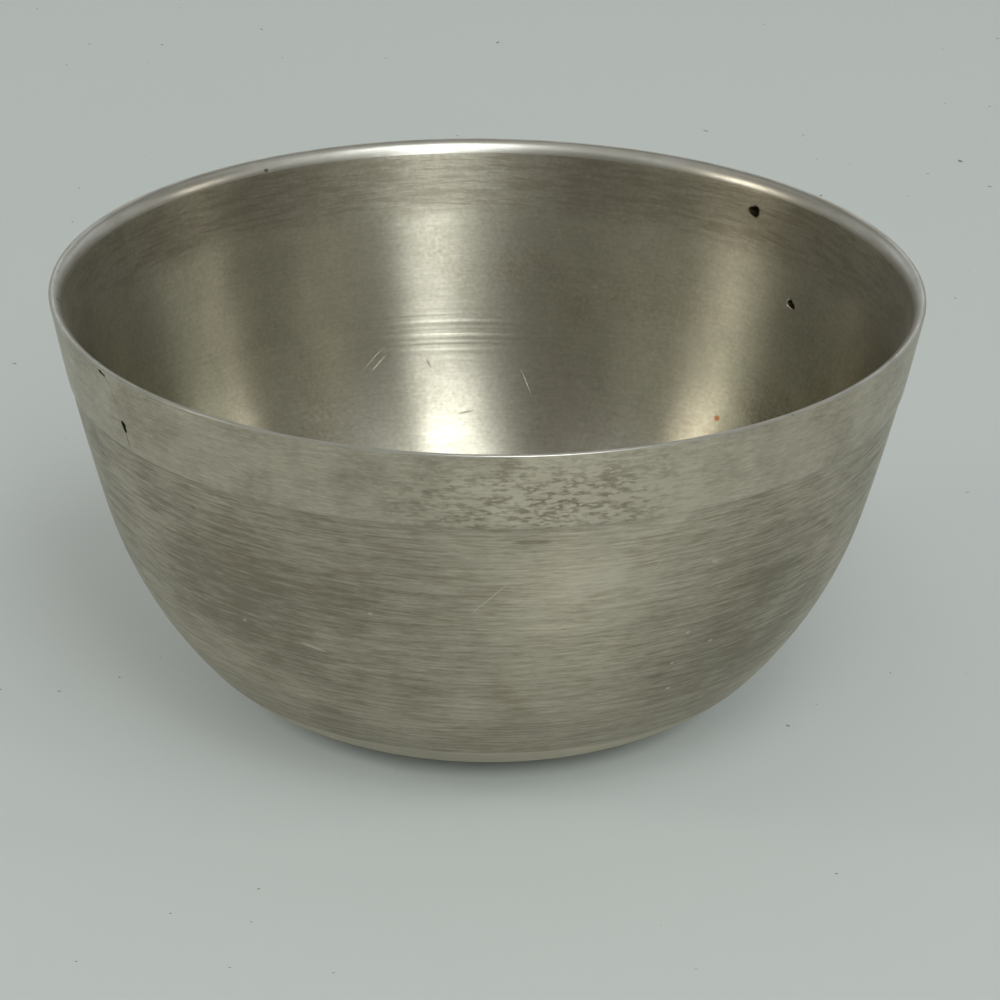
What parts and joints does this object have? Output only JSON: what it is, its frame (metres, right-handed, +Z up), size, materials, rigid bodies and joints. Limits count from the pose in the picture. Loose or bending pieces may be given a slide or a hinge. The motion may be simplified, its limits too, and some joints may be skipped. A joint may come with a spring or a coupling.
{
  "type": "offering bowl",
  "caption": "Small round metal bowl with steep sides, a rounded lip and a flat underside, for holding water, rice or flowers as an offering.",
  "frame": {"origin": "centre of the flat underside that the bowl stands on", "axes": "+Z up along the bowl's axis of revolution; +X and +Y are any two level directions"},
  "size_m": [0.1, 0.1, 0.049],
  "materials": {
    "turned_white_bronze": "lathe-turned and brushed round the bowl, lightly tarnished, with a smoother band under the rim"
  },
  "bodies": {
    "root": {"bowl": "turned_white_bronze"}
  },
  "joints": []
}
